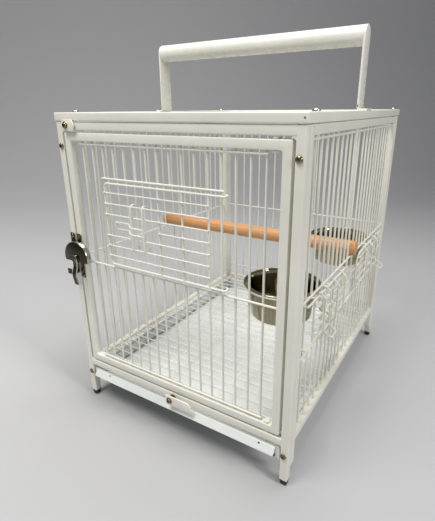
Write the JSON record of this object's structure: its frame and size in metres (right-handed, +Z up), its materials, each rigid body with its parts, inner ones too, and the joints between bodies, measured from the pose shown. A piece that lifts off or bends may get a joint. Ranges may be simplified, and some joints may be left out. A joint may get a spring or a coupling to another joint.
{
  "type": "pet bird travel cage",
  "caption": "White wire travel cage for a large bird, with a hinged front door, two swing-out cup doors, a slide-out tray, a wooden perch and a carry handle.",
  "frame": {"origin": "on the floor, at the centre of the cage's footprint", "axes": "+Z up; the front door faces -Y; +X to the right seen from the front, where the feeder doors are"},
  "size_m": [0.4352, 0.5271, 0.6325],
  "materials": {
    "white_powder_coat": "satin",
    "white_tray": "satin",
    "beech": "satin",
    "stainless": "polished",
    "chrome": "polished",
    "brassed_steel": "satin",
    "plated_steel": "satin",
    "black_plastic": "matte"
  },
  "bodies": {
    "cage": {"front_frame": "white_powder_coat", "back_frame": "white_powder_coat", "left_frame": "white_powder_coat", "right_frame": "white_powder_coat", "top_frame": "white_powder_coat", "back_bars": "white_powder_coat", "left_bars": "white_powder_coat", "right_bars": "white_powder_coat", "top_bars": "white_powder_coat", "handle_tube": "white_powder_coat", "handle_legs": "white_powder_coat", "handle_bolts": "brassed_steel", "frame_screws": "brassed_steel", "top_screws": "brassed_steel", "top_spacers": "plated_steel", "foot_caps": "black_plastic", "hinge_pins": "plated_steel", "lock_keeper": "chrome", "keeper_screws": "brassed_steel", "door_tab_screw": "brassed_steel", "tray_tab_screw": "brassed_steel", "tray_runner_left": "white_tray", "tray_runner_right": "white_tray", "perch": "beech"},
    "front_door": {"door_frame": "white_powder_coat", "door_grille": "white_powder_coat", "lock_base": "chrome", "lock_screws": "brassed_steel"},
    "access_door": {"access_door": "white_powder_coat"},
    "access_latch": {"access_latch": "white_powder_coat"},
    "lock_cam": {"lock_cam": "chrome"},
    "door_tab": {"door_tab": "white_powder_coat"},
    "tray_tab": {"tray_tab": "white_powder_coat"},
    "tray": {"tray": "white_tray"},
    "floor_grate": {"floor_grate": "white_tray"},
    "front_feeder": {"front_feeder_door": "white_powder_coat"},
    "rear_feeder": {"rear_feeder_door": "white_powder_coat"},
    "front_latch": {"front_feeder_latch": "white_powder_coat"},
    "rear_latch": {"rear_feeder_latch": "white_powder_coat"},
    "front_cup": {"front_cup": "stainless"},
    "rear_cup": {"rear_cup": "stainless"}
  },
  "joints": [
    {"name": "front_door_hinge", "type": "hinge", "parent": "cage", "child": "front_door", "pos_m": [0.166, -0.247, 0.286], "axis": [0, 0, 1], "range_deg": [0, 110]},
    {"name": "access_door_hinge", "type": "hinge", "parent": "front_door", "child": "access_door", "pos_m": [0.09291, -0.247, 0.351], "axis": [0, 0, 1], "range_deg": [0, 105]},
    {"name": "access_latch_slide", "type": "slide", "parent": "access_door", "child": "access_latch", "axis": [-1, 0, 0], "range_m": [0, 0.03]},
    {"name": "lock_turn", "type": "hinge", "parent": "front_door", "child": "lock_cam", "pos_m": [-0.1815, -0.259, 0.287], "axis": [0, -1, 0], "range_deg": [0, 90]},
    {"name": "door_tab_swivel", "type": "hinge", "parent": "cage", "child": "door_tab", "pos_m": [-0.176, -0.257, 0.497], "axis": [0, 1, 0], "range_deg": [0, 90]},
    {"name": "tray_tab_swivel", "type": "hinge", "parent": "cage", "child": "tray_tab", "pos_m": [0, -0.263, 0.075], "axis": [0, 1, 0], "range_deg": [0, 90]},
    {"name": "tray_slide", "type": "slide", "parent": "cage", "child": "tray", "axis": [0, -1, 0], "range_m": [0, 0.51]},
    {"name": "grate_lift", "type": "slide", "parent": "cage", "child": "floor_grate", "axis": [0, 0, -1], "range_m": [-0.09, 0]},
    {"name": "front_feeder_hinge", "type": "hinge", "parent": "cage", "child": "front_feeder", "pos_m": [0.197, -0.20709, 0.244], "axis": [0, 0, -1], "range_deg": [0, 95]},
    {"name": "rear_feeder_hinge", "type": "hinge", "parent": "cage", "child": "rear_feeder", "pos_m": [0.197, 0.20708, 0.244], "axis": [0, 0, 1], "range_deg": [0, 95]},
    {"name": "front_latch_slide", "type": "slide", "parent": "front_feeder", "child": "front_latch", "axis": [0, 1, 0], "range_m": [0, 0.026]},
    {"name": "rear_latch_slide", "type": "slide", "parent": "rear_feeder", "child": "rear_latch", "axis": [0, -1, 0], "range_m": [0, 0.026]},
    {"name": "front_cup_lift", "type": "slide", "parent": "front_feeder", "child": "front_cup", "axis": [0, 0, 1], "range_m": [0, 0.06]},
    {"name": "rear_cup_lift", "type": "slide", "parent": "rear_feeder", "child": "rear_cup", "axis": [0, 0, 1], "range_m": [0, 0.06]}
  ]
}
